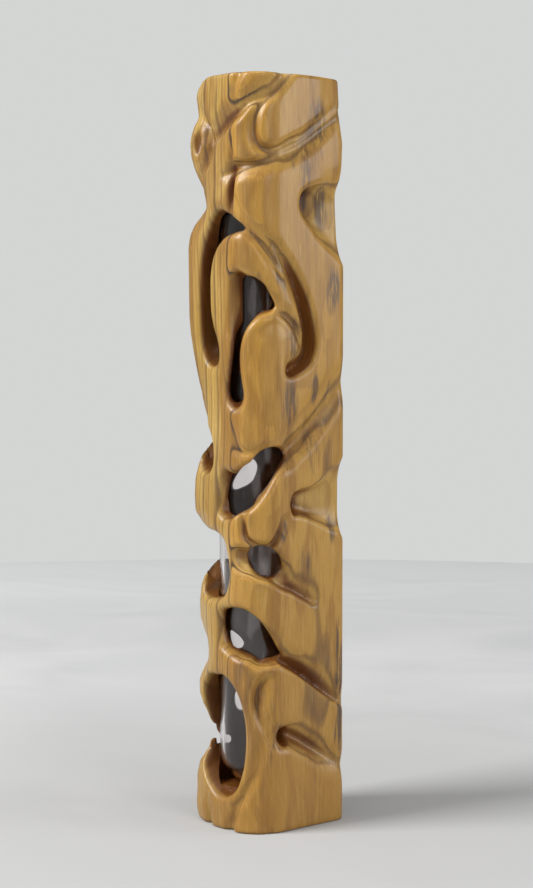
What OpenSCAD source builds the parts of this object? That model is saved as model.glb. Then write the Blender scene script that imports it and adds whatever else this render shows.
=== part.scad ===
// Mezuzah case: a carved olive-wood block round a glass tube that holds the rolled parchment.
// The tube stands in a bore that opens at the top. Its wooden stopper, with a cork sleeve, fills
// the bore's mouth, and two brass keyhole plates let into the back hang the case on two screws.
// Frame: X across the front, Y to the back, Z up, with the origin under the middle of the block.
// Millimetres.

/* [Block] */
// Height of the block
case_h = 178; // [148:1:214]
// Width across the front
case_w = 27; // [22.5:0.5:33]
// Depth from the front to the flat back
case_d = 29.5; // [26:0.5:36]
// Radius of the front edge on the right
right_round = 9; // [7:0.5:10]
// Radius of the front edge on the left
left_round = 5; // [4:0.5:10]
// Radius of the two back edges
back_round = 1.5; // [0.5:0.5:3]
// Wood in front of the bore before carving
front_wall = 2.8; // [2:0.1:5]
// Wood under the bore
floor_h = 9.5; // [6:0.5:14]

/* [Tube] */
// Outer diameter of the glass tube
tube_d = 16; // [13:0.5:19.5]
// Thickness of the glass
glass_t = 1; // [0.8:0.1:1.4]
// Gap between the glass and the bore
tube_gap = 0.3; // [0.2:0.05:0.5]

/* [Stopper] */
// Height of the wooden head above the cork
head_h = 15.5; // [10:0.5:20]
// Thickness of the cork flange on the tube's rim
flange_h = 3; // [2:0.5:5]
// Depth of the cork inside the tube
cork_depth = 9; // [6:0.5:14]
// Gap between the cork and the glass
cork_gap = 0.05; // [0.03:0.01:0.1]
// Diameter of the wooden tenon inside the cork
tenon_d = 6; // [4:0.5:8]

/* [Hangers] */
// Distance between the two keyholes
hanger_pitch = 120; // [90:1:130]
// Width of a keyhole plate
plate_w = 12; // [11:0.5:16]
// Height of a keyhole plate
plate_l = 34; // [28:1:41]
// Thickness of a keyhole plate
plate_t = 1.2; // [1:0.1:1.6]
// Diameter of the hole that passes a hanging screw's head
entry_d = 8; // [7:0.5:9]
// Width of the slot that holds the hanging screw's neck
slot_w = 4.2; // [3.5:0.1:5]
// Depth of the pocket behind a plate
pocket_t = 4; // [3:0.5:5]
// Diameter of a plate screw's head
screw_head_d = 5; // [4:0.5:5.5]
// Diameter of a plate screw's shank
screw_d = 2.6; // [2:0.1:3]
// Wood between a plate screw's tip and the bore
screw_margin = 2.4; // [2:0.1:4]

/* [Carving] */
// How far the long grooves sink below the side faces
groove_depth = 1.8; // [1:0.1:2.5]
// Radius of the gouge that cuts the grooves
gouge_r = 3; // [2:0.5:4]
// How far the hollows bite into the front edges
waist_depth = 2.6; // [1.5:0.1:3]

/* [Hidden] */
$fn = 64;

// The bore and what stands in it.
bore_r = tube_d / 2 + tube_gap;
bore_y = -case_d / 2 + front_wall + bore_r;
back_y = case_d / 2;
back_wall = back_y - bore_y - bore_r;
tube_l = case_h - floor_h - head_h - flange_h;
rim_z = floor_h + tube_l;
glass_r = tube_d / 2 - glass_t;
head_r = bore_r - 0.15;
mouth_chamfer = 0.6;
far = 2 * (case_w + case_d);

// Distance from the bore's axis to the rounded left front edge.
left_reach = norm([case_w / 2 - left_round, bore_y + case_d / 2 - left_round]) + left_round;

// The stopper's pull groove, a nail's width below the top.
pull_z = 3.2;
pull_r = 1;
dish_r = 22;
dish_depth = 0.8;
nail_scoop_r = 5;

// Plate details: the keyhole runs up from its entry hole, with a screw above and below.
fit_gap = 0.1;
slot_rise = 7;
screw_pitch = plate_l - 8;
entry_drop = 2.5;
screw_l = back_wall - screw_margin + plate_t;
head_t = 1.1;
tip_t = 2;
driver_slot_w = 0.8;
driver_slot_t = 0.6;
hanger_mid_z = case_h / 2;
hanger_zs = [hanger_mid_z + hanger_pitch / 2, hanger_mid_z - hanger_pitch / 2];

// Windows to the bore: [turn from the front towards +X, share of the tube's height, length,
// breadth, lean of the long side from upright towards -X].
WINDOWS = [
    [4, 0.080, 29, 16.5, 0],        // foot
    [-58, 0.066, 19, 8, 86],        // foot, round the left edge
    [-112, 0.107, 9, 7.5, 10],      // foot, left rear
    [52, 0.248, 19, 9.5, 50],       // lower slant
    [-106, 0.210, 13, 8, -35],      // lower slant, left rear
    [48, 0.492, 21, 10.5, -42],     // upper slant
    [-118, 0.480, 11, 9, 0],        // upper slant, left rear
    [62, 0.360, 9, 7, 80],          // eye
    [-12, 0.352, 14, 11, 40],       // front eye
    [-60, 0.375, 18, 9, 78],        // front eye, round the left edge
    [20, 0.892, 12, 7, 50],         // crown
    [-13, 0.785, 34, 6, 2],         // long slot
    [49, 0.775, 17, 9, 48],         // fan
    [30, 0.660, 21, 5.6, 4],        // slot below the fan
    [94, 0.456, 7, 4, 0],           // right pinhole
    [88, 0.082, 6.5, 4, 0],         // right foot pinhole
];

// Hollows that balls leave in the edges: [turn, share of the tube's height, radius, bite].
HOLLOWS = [
    [-46, 0.915, 10, 1.9], [-46, 0.555, 10, 1.9], [-46, 0.385, 8, 2.3], [-46, 0.210, 8, 1.9],
    [-46, 0.066, 6, 2.2], [-46, 1.110, 9, 1.1], [-10, 1.010, 7, 0.5],
    [136, 0.915, 10, 1.3], [134, 0.455, 9, 1.5], [-136, 0.740, 10, 1.5], [-136, 0.330, 9, 1.5],
];

// Straight grooves over a side face: [side, share of height and of depth at the start, and at
// the end]. Depth runs from 0 at the front of the face to 1 at its back.
GROOVES = [
    [1, 1.010, -0.05, 1.125, 0.35],                                 // over the crown
    [1, 0.898, 0.05, 0.735, 0.590],                                 // cane
    [1, 0.550, 0.20, 0.650, 1.05],                                  // over the arm
    [1, 0.454, 0.50, 0.450, 1.05],                                  // pinhole flare
    [1, 0.385, 0.12, 0.300, 0.60],                                  // eye
    [1, 0.210, 0.28, 0.128, 1.05],                                  // lower slant
    [1, 0.185, 0.10, 0.095, 0.20], [1, 0.080, 0.45, 0.025, 1.05],   // foot
    [-1, 0.990, 0.10, 1.070, 1.05], [-1, 0.920, 0.05, 0.880, 1.05], // left crown
    [-1, 0.640, 0.90, 0.760, 0.20], [-1, 0.560, 0.10, 0.480, 1.05], // left middle
    [-1, 0.330, 0.10, 0.260, 1.05], [-1, 0.060, 0.10, 0.150, 1.05], // left foot
];

// Curled grooves on a side face: [side, share of height, share of depth, radius, from, to]. The
// angles turn from the back of the face towards the top.
CURLS = [
    [1, 1.300, -0.440, 50, -72, -34],   // under the leaf panel
    [1, 0.705, 0.455, 5.2, -110, 40],   // hook of the cane
    [1, 0.690, 0.200, 6.5, 5, 165],     // over the tongue
    [-1, 0.700, 0.480, 7, -150, 20],    // left middle
    [-1, 0.400, 0.560, 6, 20, 190],     // left foot
];

function at_height(share) = floor_h + share * tube_l;

// Distance from the bore's axis to the blank's surface at a turn, for the flat faces and the edge.
function face_reach(turn) =
    let (dx = sin(turn), dy = -cos(turn))
    min(abs(dx) > 0.01 ? case_w / 2 / abs(dx) : far,
        dy > 0.01 ? (back_y - bore_y) / dy : far,
        dy < -0.01 ? (bore_y + case_d / 2) / -dy : far);
function edge_reach(turn) = min(face_reach(turn), turn > -90 && turn < 0 ? left_reach : far);

// The block's outline before carving, its front corners rounder than its back ones.
module block_outline() {
    x = case_w / 2;
    y = case_d / 2;
    translate([left_round - x, -y]) square([2 * x - left_round - right_round, 2 * y]);
    translate([-x, left_round - y]) square([x, 2 * y - left_round - back_round]);
    translate([0, right_round - y]) square([x, 2 * y - right_round - back_round]);
    translate([back_round - x, 0]) square([2 * (x - back_round), y]);
    translate([left_round - x, left_round - y]) circle(left_round);
    translate([x - right_round, right_round - y]) circle(right_round);
    for (side = [-1, 1])
        translate([side * (x - back_round), y - back_round]) circle(back_round);
}

// A pointed oval, the shape that a gouge leaves where it breaks through a wall.
module oval(length, breadth) {
    r = (length * length + breadth * breadth) / (4 * breadth);
    intersection() {
        translate([r - breadth / 2, 0]) circle(r);
        translate([breadth / 2 - r, 0]) circle(r);
    }
}

// Cuts outwards from the bore's axis at a turn.
module window_cut(turn, share, length, breadth, lean) {
    translate([0, bore_y, at_height(share)])
        rotate([0, 0, turn]) rotate([90, 0, 0]) rotate([0, 0, lean])
            linear_extrude(far / 2) oval(length, breadth);
}

// A ball that bites waist_depth times bite into an edge.
module hollow_cut(turn, share, radius, bite) {
    reach = edge_reach(turn) + radius - waist_depth * bite;
    translate([reach * sin(turn), bore_y - reach * cos(turn), at_height(share)]) sphere(radius);
}

// A straight gouge mark between two points of a side face, with rounded ends.
module groove_cut(side, z1, d1, z2, d2) {
    run = case_d * (d2 - d1);
    rise = tube_l * (z2 - z1);
    reach = norm([rise, run]);
    translate([side * (case_w / 2 + gouge_r - groove_depth), case_d * (d1 - 0.5), at_height(z1)])
        rotate([-atan2(run, rise), 0, 0]) rotate_extrude()
            intersection() {
                union() {
                    square([gouge_r, reach]);
                    for (z = [0, reach]) translate([0, z]) circle(gouge_r);
                }
                translate([0, -2 * gouge_r]) square([2 * gouge_r, reach + 4 * gouge_r]);
            }
}

// A gouge mark that curls about a point of a side face.
module curl_cut(side, z, d, radius, from, to) {
    translate([side * (case_w / 2 + gouge_r - groove_depth), case_d * (d - 0.5), at_height(z)])
        rotate([90, 0, 90]) rotate([0, 0, from]) rotate_extrude(angle = to - from)
            translate([radius, 0]) circle(gouge_r);
}

// Keyhole with its entry hole low and its slot running up.
module keyhole(entry, slot) {
    translate([0, -entry_drop]) circle(d = entry);
    translate([-slot / 2, -entry_drop]) square([slot, slot_rise]);
    translate([0, slot_rise - entry_drop]) circle(d = slot);
}

// Lays a plan drawn in X and Z against the back face, sunk by depth and as thick as asked.
module on_back(z, depth, thickness) {
    translate([0, back_y - depth, z]) rotate([90, 0, 0]) mirror([0, 0, 1])
        linear_extrude(thickness) children();
}

module plate_outline(gap) {
    end_z = plate_l / 2 - plate_w / 2;
    square([plate_w + 2 * gap, 2 * end_z], center = true);
    for (end = [-end_z, end_z])
        translate([0, end]) circle(plate_w / 2 + gap);
}

// What a hanger takes out of the block: the plate's seat, the head pocket and two pilot holes.
module hanger_cut(z) {
    on_back(z, plate_t, plate_t + 1) plate_outline(fit_gap);
    on_back(z, plate_t + pocket_t, pocket_t + 1) keyhole(entry_d + 0.6, entry_d + 0.6);
    for (end = [-1, 1])
        translate([0, back_y + 1, z + end * screw_pitch / 2]) rotate([90, 0, 0])
            cylinder(d = screw_d + fit_gap, h = screw_l + 1 + fit_gap);
}

// The carved olive-wood block.
module case_body() {
    color([0.72, 0.52, 0.27])
        difference() {
            linear_extrude(case_h) block_outline();
            translate([0, bore_y, floor_h]) cylinder(r = bore_r, h = case_h);
            translate([0, bore_y, case_h - mouth_chamfer])
                cylinder(r1 = bore_r, r2 = bore_r + 2 * mouth_chamfer, h = 2 * mouth_chamfer);
            translate([0, bore_y + bore_r + 1, case_h + nail_scoop_r / 3]) sphere(nail_scoop_r);
            for (w = WINDOWS) window_cut(w[0], w[1], w[2], w[3], w[4]);
            for (h = HOLLOWS) hollow_cut(h[0], h[1], h[2], h[3]);
            for (g = GROOVES) groove_cut(g[0], g[1], g[2], g[3], g[4]);
            for (c = CURLS) curl_cut(c[0], c[1], c[2], c[3], c[4], c[5]);
            for (z = hanger_zs) hanger_cut(z);
        }
}

// The test tube's outline from its axis out: a straight wall and a round end.
module tube_profile(r, base) {
    intersection() {
        union() {
            translate([0, base + r]) circle(r);
            translate([0, base + r]) square([r, rim_z - base - r]);
        }
        translate([0, base - 1]) square([r + 1, case_h]);
    }
}

// The clear glass tube, round end down, standing on the bore's floor.
module glass_tube() {
    color([0.82, 0.85, 0.86, 0.35])
        translate([0, bore_y, 0]) rotate_extrude()
            difference() {
                tube_profile(tube_d / 2, floor_h);
                tube_profile(glass_r, floor_h + glass_t);
                translate([0, rim_z - 1]) square([glass_r, 2]);
            }
}

// The turned wooden head, flush with the block's top, with a nail groove and a tenon below.
module stopper_head() {
    color([0.66, 0.46, 0.23])
        translate([0, bore_y, 0])
            difference() {
                union() {
                    translate([0, 0, rim_z + flange_h]) cylinder(r = head_r, h = head_h);
                    translate([0, 0, rim_z + flange_h - cork_depth])
                        cylinder(d = tenon_d, h = cork_depth + 1);
                }
                translate([0, 0, case_h + dish_r - dish_depth]) sphere(dish_r);
                translate([0, 0, case_h - pull_z])
                    rotate_extrude() translate([head_r, 0]) circle(pull_r);
            }
}

// The cork sleeve: a flange on the tube's rim and a tapered plug inside it.
module stopper_cork() {
    plug_r = glass_r - cork_gap;
    straight = cork_depth / 2;
    color([0.72, 0.55, 0.38])
        translate([0, bore_y, rim_z]) rotate_extrude()
            difference() {
                union() {
                    square([tube_d / 2 - 0.2, flange_h]);
                    translate([0, -straight]) square([plug_r, straight]);
                    polygon([[0, -cork_depth], [plug_r - 0.5, -cork_depth], [plug_r, -straight],
                             [0, -straight]]);
                }
                translate([0, flange_h - cork_depth]) square([tenon_d / 2, cork_depth]);
            }
}

// A brass keyhole plate, flush with the back.
module keyhole_plate(z) {
    color([0.74, 0.6, 0.3])
        difference() {
            on_back(z, plate_t, plate_t) plate_outline(0);
            on_back(z, plate_t + 1, plate_t + 2) keyhole(entry_d, slot_w);
            for (end = [-1, 1]) {
                translate([0, back_y + 1, z + end * screw_pitch / 2]) rotate([90, 0, 0])
                    cylinder(d = screw_d + fit_gap, h = plate_t + 2);
                translate([0, back_y, z + end * screw_pitch / 2]) rotate([90, 0, 0])
                    cylinder(d1 = screw_head_d + fit_gap, d2 = screw_d + fit_gap, h = head_t);
            }
        }
}

// A plate's two countersunk screws.
module plate_screws(z) {
    color([0.7, 0.56, 0.28])
        for (end = [-1, 1])
            translate([0, back_y, z + end * screw_pitch / 2]) rotate([90, 0, 0])
                difference() {
                    union() {
                        cylinder(d1 = screw_head_d, d2 = screw_d, h = head_t);
                        translate([0, 0, head_t - 0.01])
                            cylinder(d = screw_d, h = screw_l - head_t - tip_t + 0.01);
                        translate([0, 0, screw_l - tip_t]) cylinder(d1 = screw_d, d2 = 0.4, h = tip_t);
                    }
                    cube([screw_head_d + 1, driver_slot_w, 2 * driver_slot_t], center = true);
                }
}

case_body();
glass_tube();
stopper_head();
stopper_cork();
keyhole_plate(hanger_zs[0]);  // upper_keyhole_plate
keyhole_plate(hanger_zs[1]);  // lower_keyhole_plate
plate_screws(hanger_zs[0]);  // upper_plate_screws
plate_screws(hanger_zs[1]);  // lower_plate_screws
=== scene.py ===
import math

import bmesh
import bpy
import numpy as np
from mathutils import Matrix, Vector
from mathutils.bvhtree import BVHTree


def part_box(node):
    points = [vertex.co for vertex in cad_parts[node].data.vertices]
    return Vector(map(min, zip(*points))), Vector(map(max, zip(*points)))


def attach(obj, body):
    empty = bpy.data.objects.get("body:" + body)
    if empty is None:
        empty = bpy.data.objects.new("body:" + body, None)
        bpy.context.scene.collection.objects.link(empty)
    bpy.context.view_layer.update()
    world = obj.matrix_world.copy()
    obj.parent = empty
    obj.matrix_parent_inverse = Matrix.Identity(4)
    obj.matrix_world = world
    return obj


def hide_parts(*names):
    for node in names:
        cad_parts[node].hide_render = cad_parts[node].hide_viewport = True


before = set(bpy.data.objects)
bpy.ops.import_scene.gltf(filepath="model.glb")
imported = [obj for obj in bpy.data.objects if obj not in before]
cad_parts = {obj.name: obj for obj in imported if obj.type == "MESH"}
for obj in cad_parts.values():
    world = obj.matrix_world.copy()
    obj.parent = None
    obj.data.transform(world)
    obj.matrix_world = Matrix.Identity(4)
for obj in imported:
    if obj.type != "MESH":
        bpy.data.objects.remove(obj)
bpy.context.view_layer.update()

MM = 0.001
CELL = 0.55  # edge of a sculpting cell, mm
MAP_STEP = 0.2  # spacing of the carving map, mm
LOOK_AZIMUTH = 50.0
LOOK_DOWN = 3.25


def box_mm(node):
    lo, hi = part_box(node)
    return np.array(lo) / MM, np.array(hi) / MM


body_lo, body_hi = box_mm("case_body")
tube_lo, tube_hi = box_mm("glass_tube")
head_lo, head_hi = box_mm("stopper_head")
cork_lo, cork_hi = box_mm("stopper_cork")
WIDTH, DEPTH, HEIGHT = body_hi - body_lo
AXIS_Y = (tube_lo[1] + tube_hi[1]) / 2
TUBE_R = (tube_hi[0] - tube_lo[0]) / 2
BORE_R = TUBE_R + 0.3
FLOOR_Z = tube_lo[2]
BACK_Y = body_hi[1]

# ---------------------------------------------------------------- camera

camera = bpy.data.objects.new("camera", bpy.data.cameras.new("camera"))
bpy.context.scene.collection.objects.link(camera)
camera.data.sensor_width = 36.0
camera.data.lens = 77.7
camera.data.clip_start, camera.data.clip_end = 0.01, 20.0
turn = math.radians(LOOK_AZIMUTH)
right = Vector((math.cos(turn), math.sin(turn), 0))
ahead = Vector((-math.sin(turn), math.cos(turn), 0))
eye = -0.4607 * ahead + 0.00044 * right + Vector((0, 0, 0.1173))
down = math.radians(LOOK_DOWN)
camera.location = eye
camera.rotation_mode = "QUATERNION"
camera.rotation_quaternion = (ahead * math.cos(down) - Vector((0, 0, math.sin(down)))).to_track_quat("-Z",
                                                                                                     "Y")
bpy.context.scene.camera = camera

# ---------------------------------------------------------------- the blank, unrolled

# Corner radii of the blank before carving: left front, right front, back.
LEFT_R, RIGHT_R, BACK_R = 4.2, 9.0, 2.9
QUARTER = math.pi / 2
HALF_W, HALF_D = WIDTH / 2, DEPTH / 2


def unroll(x, y):
    """Distance round the blank from the middle of its front, + towards +X, and depth below it (mm)."""
    r = np.where(x > 0, RIGHT_R, LEFT_R)
    side = np.abs(x)
    at_front, at_side, at_back = y + HALF_D, HALF_W - side, HALF_D - y
    start = HALF_W - r
    along_side = start + r * QUARTER + (at_front - r)
    back_corner = start + r * QUARTER + DEPTH - r - BACK_R
    along_back = back_corner + BACK_R * QUARTER + (HALF_W - BACK_R - side)
    inset = np.minimum(np.minimum(at_front, at_side), at_back)
    u = np.where(inset == at_front, side, np.where(inset == at_side, along_side, along_back))
    dx, dy = side - start, r - at_front
    corner = (dx > 0) & (dy > 0)
    u = np.where(corner, start + r * np.arctan2(dx, dy), u)
    inset = np.where(corner, r - np.hypot(dx, dy), inset)
    dx, dy = side - (HALF_W - BACK_R), BACK_R - at_back
    corner = (dx > 0) & (dy > 0)
    u = np.where(corner, back_corner + BACK_R * np.arctan2(dy, dx), u)
    inset = np.where(corner, BACK_R - np.hypot(dx, dy), inset)
    return np.where(x > 0, u, -u), inset


U_LO, U_HI = (float(unroll(np.array(t * 0.01), np.array(HALF_D))[0]) for t in (-1, 1))

# ---------------------------------------------------------------- the carving map

nu, nz = int((U_HI - U_LO) / MAP_STEP) + 1, int(HEIGHT / MAP_STEP) + 1
map_u = np.linspace(U_LO, U_HI, nu)
map_z = np.linspace(0, HEIGHT, nz)
SHARP = 3.0
carved = np.zeros((nu, nz))


def curve(points, closed=False, step=0.5):
    """A smooth line through the points, as closely spaced points."""
    p = np.array(points, float)
    q = np.vstack([p[-1], p, p[0], p[1]]) if closed else np.vstack([2 * p[0] - p[1], p, 2 * p[-1] - p[-2]])
    out = []
    for i in range(1, len(q) - 2):
        a, b, c, d = q[i - 1], q[i], q[i + 1], q[i + 2]
        n = max(2, int(np.linalg.norm((c - b)[:2]) / step))
        t = np.linspace(0, 1, n, endpoint=False)[:, None]
        out.append(0.5 * (2 * b + (c - a) * t + (2 * a - 5 * b + 4 * c - d) * t**2 + (3 * b - a - 3 * c + d) * t**3))
    return np.vstack(out + ([] if closed else [p[-1:]]))


def patch(line, margin):
    """The part of the map near a line, as index ranges and coordinates."""
    i = np.searchsorted(map_u, [line[:, 0].min() - margin, line[:, 0].max() + margin])
    j = np.searchsorted(map_z, [line[:, 1].min() - margin, line[:, 1].max() + margin])
    u, z = np.meshgrid(map_u[i[0]:i[1]], map_z[j[0]:j[1]], indexing="ij")
    return (slice(*i), slice(*j)), u, z


def nearest(line, u, z, closed=False):
    """Distance to a line, how far along it (0 to 1), the side (+ left) and how far the way there is along +u."""
    a = line[:, :2]
    b = np.roll(a, -1, axis=0) if closed else a[1:]
    a = a if closed else a[:-1]
    best = np.full(u.shape, 1e9)
    along, side, lean = (np.zeros(u.shape) for _ in range(3))
    for k, (p, q) in enumerate(zip(a, b)):
        d = q - p
        t = np.clip(((u - p[0]) * d[0] + (z - p[1]) * d[1]) / max(d @ d, 1e-9), 0, 1)
        du, dz = u - p[0] - t * d[0], z - p[1] - t * d[1]
        dist = np.hypot(du, dz)
        closer = dist < best
        best = np.where(closer, dist, best)
        along = np.where(closer, (k + t) / len(a), along)
        side = np.where(closer, np.sign(d[0] * dz - d[1] * du), side)
        lean = np.where(closer, du / np.maximum(dist, 1e-6), lean)
    return best, along, side, lean


def inside(line, u, z):
    a, b = line[:, :2], np.roll(line[:, :2], -1, axis=0)
    hit = np.zeros(u.shape, bool)
    for p, q in zip(a, b):
        if p[1] != q[1]:
            cross = (z > min(p[1], q[1])) & (z <= max(p[1], q[1]))
            hit ^= cross & (u < p[0] + (z - p[1]) / (q[1] - p[1]) * (q[0] - p[0]))
    return hit


def add(where, depth):
    carved[where] += np.maximum(depth, 0) ** SHARP


SHOULDER = 1.35       # a groove's shoulders are drawn this much wider than asked
DEEPEST = 9.0         # an opening's depth on the map, mm
FLOOR_POWER = 0.7     # how round a recess's floor is


def groove(points, depth, left, right, fade=0.12):
    """A crease along a line. left and right are its shoulders' reach on each side; depth may be a list."""
    line = curve(points)
    left, right = SHOULDER * left, SHOULDER * right
    where, u, z = patch(line, max(left, right) + 0.5)
    dist, along, side, _ = nearest(line, u, z)
    depths = np.atleast_1d(np.array(depth, float))
    d = np.interp(along, np.linspace(0, 1, len(depths)), depths)
    if fade:
        d = d * np.clip(along / fade, 0, 1) ** 0.6 * np.clip((1 - along) / fade, 0, 1) ** 0.6
    reach = np.where(side > 0, left, right)
    s = np.clip(1 - dist / reach, 0, 1)
    add(where, d * (0.8 * s**1.7 + 0.2 * s * s * (3 - 2 * s)))


def window(points, lip=1.0, lip_width=2.2, wall=6.0, left=None):
    """An opening to the bore, with a rolled lip. wall and left are its walls' steepness, left on the -u side."""
    line = curve(points, closed=True)
    where, u, z = patch(line, lip_width + 0.5)
    dist, _, _, lean = nearest(line, u, z, closed=True)
    s = np.clip(1 - dist / lip_width, 0, 1)
    outer = lip * s**2
    steep = wall + ((left or wall) - wall) * np.clip(lean, 0, 1) ** 2
    add(where, np.minimum(np.where(inside(line, u, z), lip + steep * dist, outer), DEEPEST))


def recess(points, depth, edge=1.6, lip=0.3, lip_width=1.0):
    """A sunken pocket with a floor, reached edge mm in from its outline. depth and edge may be functions of (u, z).
    """
    line = curve(points, closed=True)
    where, u, z = patch(line, lip_width + 0.5)
    dist, _, _, _ = nearest(line, u, z, closed=True)
    d = depth(u, z) if callable(depth) else depth
    s = np.clip(dist / (edge(u, z) if callable(edge) else edge), 0, 1)
    inner = lip + (d - lip) * np.sin(s * math.pi / 2) ** FLOOR_POWER
    outer = lip * np.clip(1 - dist / lip_width, 0, 1) ** 2
    add(where, np.where(inside(line, u, z), inner, outer))


def lens(u0, z0, long, broad, lean=0.0):
    """A pointed oval outline. Its long side leans from upright towards -u."""
    a = math.radians(lean)
    out = []
    for k in range(12):
        t = 2 * math.pi * k / 12
        v = long / 2 * math.sin(t)
        w = broad / 2 * math.cos(t) * (1 - 0.25 * abs(math.sin(t)))
        out.append((u0 + w * math.cos(a) - v * math.sin(a), z0 + w * math.sin(a) + v * math.cos(a)))
    return out


# How deep the left front edge is cut along its height: (z, depth). Worked out from where the photograph's
# left edge lies row by row.
EDGE_LINE = [(0, 2.4), (2, 1.9), (4, 1.7), (7, 1.9), (11, 1.9), (14.3, 2.6), (16.5, 4.4), (17.7, 5.8),
             (19.3, 5.9), (20.5, 5.4), (21.5, 5.4),
             (22.5, 5.8), (24.5, 6.0), (26.5, 4.9), (28.5, 3.3), (31, 2.5), (34, 2.5), (36, 3.2), (38, 4.6),
             (40, 5.9), (42, 6.2), (44, 5.3), (46, 4.0),
             (49, 2.8), (53, 2.6), (57, 3.0), (60, 4.0), (62.5, 5.8), (65, 8.4), (67, 8.4), (69, 7.3),
             (71, 5.1), (72.5, 3.2),
             (75, 1.6), (79, 1.4), (83, 1.6), (86, 2.3), (88.5, 3.2), (91, 4.8), (93.5, 6.3), (96, 6.0),
             (99, 4.6), (102, 3.6),
             (106, 2.6), (110, 1.8), (114, 1.1), (118, 0.5), (122, 0.2), (138, 0.0), (141, 0.4), (143.5, 1.5),
             (145.5, 3.0),
             (147.5, 5.0), (149.5, 4.7), (152, 3.8), (154.5, 2.6), (157, 1.5), (160, 0.7), (163, 0.5),
             (165, 0.8), (167, 1.5),
             (169, 2.6), (171, 2.4), (174, 2.0), (176, 2.5), (178, 4.0)]
edge_z, edge_depth = np.array(EDGE_LINE).T
across = np.interp(map_u, [-36, -24, -15, -10, -7.5, -4.5, -2], [0, 0.75, 1, 1, 0.62, 0.16, 0])
carved += (np.interp(map_z, edge_z, edge_depth)[None, :] * across[:, None]) ** SHARP
# The same for the right back edge, which is eased only near the top.
eased = np.interp(map_z, [136, 143, 151, 157, 163, 168, 174, 178], [0, 0.5, 1.5, 0.5, 0.3, 1.0, 1.3, 1.5])
carved += (eased[None, :] * np.interp(map_u, [30, 37, 46], [0, 1, 1])[:, None]) ** SHARP

# Head: the lobe over the front, the small lobe beside it and the leaf panel on the right face.
groove([(-3, 163), (0, 164.3), (3.5, 167), (7.5, 169.3), (10, 171), (14.5, 172.7), (17, 174.5), (21, 178.6)],
       [1.6, 2.4, 2.2, 1.8, 1.6], 3.6, 2.0, fade=0)
groove([(8.4, 179), (6.8, 176), (6.2, 174), (6.5, 172), (7.6, 170.2)], 0.9, 1.4, 1.6, fade=0)
groove([(17.5, 174), (14.8, 171.8), (12.8, 169.5), (11.8, 167), (11.6, 164), (12.2, 162), (13.5, 160.7),
        (15.5, 160.2), (18.5, 161), (22, 162.7), (25, 164), (28, 166), (32, 168.8), (37.5, 173)],
       [0.8, 1.7, 2.0, 1.8, 1.4, 1.1], 1.1, 2.8, fade=0.05)
groove([(4.4, 156), (6.5, 156.7), (10, 157), (13.5, 157.6), (17.5, 158.7), (23, 160.8), (27, 163), (30, 165),
        (34.5, 168), (39, 171)], [2.4, 2.0, 1.6, 1.5, 1.5, 1.2], 1.3, 3.4, fade=0)
groove([(5.4, 166), (5.0, 160), (4.7, 156.5), (5.2, 154), (4.8, 150), (4.2, 145.5)],
       [0.3, 0.8, 2.7, 2.7, 1.5], 1.0, 1.1,
       fade=0)
# The small bulge on the left edge, with its almond dimple.
groove([(-9, 171), (-7, 168.5), (-4.8, 166.8), (-3.8, 164.3), (-3.2, 162.3), (-4, 159.5), (-6.5, 156),
        (-9.5, 152)],
       [2.2, 2.4, 2.2, 2.0, 2.0], 2.4, 2.8, fade=0)
recess(lens(-8.2, 163.2, 7.5, 3.2, 4), 2.1, edge=1.3)
# Crown window, long slot and the lobe on the left of it.
window([(0.5, 146.3), (4, 145), (8.8, 142), (6, 141.4), (4, 141), (2, 140.4), (0, 139), (-1.8, 137),
        (-2.9, 134.5),
        (-3.6, 131), (-3.6, 127), (-3.4, 123), (-2.5, 119.5), (-1.2, 116.5), (-0.4, 114), (-0.5, 111.3),
        (-1.8, 110.2),
        (-3.5, 110.6), (-5.2, 112.5), (-6.3, 115), (-6.7, 120), (-6.6, 129), (-6.2, 134.5), (-5.2, 138.5),
        (-3.7, 142),
        (-2, 144.8)], lip=0.9, lip_width=2.6, wall=8)
# The main leaf, the thin ridge and the cane that hooks round the tongue.
groove([(6.2, 150), (7.6, 146.5), (9.4, 144.3), (12, 142.2), (14.3, 140.5), (16.8, 138.5), (18.5, 136.5),
        (20.8, 133.8),
        (23, 130.5), (25, 127), (26.5, 123.5), (27.6, 120), (28.2, 116.5), (27.9, 113.5), (26.5, 111),
        (24.2, 109.5),
        (22, 108.6), (19.8, 108.4)], [0.4, 0.9, 1.4, 2.1, 3.0, 4.0, 4.6, 4.4, 3.0], 1.0, 3.2, fade=0.03)
groove([(8.4, 143.2), (10.4, 141.3), (12.6, 139.4), (14.8, 137.2), (16.6, 135), (18.4, 132.8), (20, 130)],
       [1.2, 2.0, 2.2, 1.8, 0.9], 0.9, 2.2)
groove([(17, 123), (18.5, 122.4), (20.2, 121.6), (22, 120.2), (23.8, 118), (25, 115.8), (25.5, 113.8)],
       [1.2, 1.6, 2.0, 2.2], 1.8, 1.5, fade=0.08)
# Fan window running down into the slot beside the tongue.
window([(4.3, 130.5), (5.7, 131.7), (7, 132), (8.8, 131.3), (10.4, 130.2), (12.3, 128.9), (14.2, 127.2),
        (16.2, 125.2),
        (16.8, 124), (16, 122.9), (12.7, 121.9), (10.8, 120.7), (9.2, 119.2), (8, 117.2), (7.2, 114.5),
        (7, 111.5),
        (7.3, 108.5), (7.7, 106), (8.1, 103.5), (7.8, 101.8), (6.9, 100.7), (5.4, 100.7), (4, 102.2),
        (3.3, 104.3),
        (3.6, 107), (4.3, 110), (4.9, 113), (5.2, 115.8), (4.4, 119), (4.1, 124)], lip=0.9, lip_width=2.2)
# Tongue: its inner face is a step lower than its rim.
groove([(12.3, 116.5), (13.3, 118.6), (15, 119.8), (17.1, 120.3), (18.8, 119.6), (20, 117.5)], 0.35, 1.0, 2.2)
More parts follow.
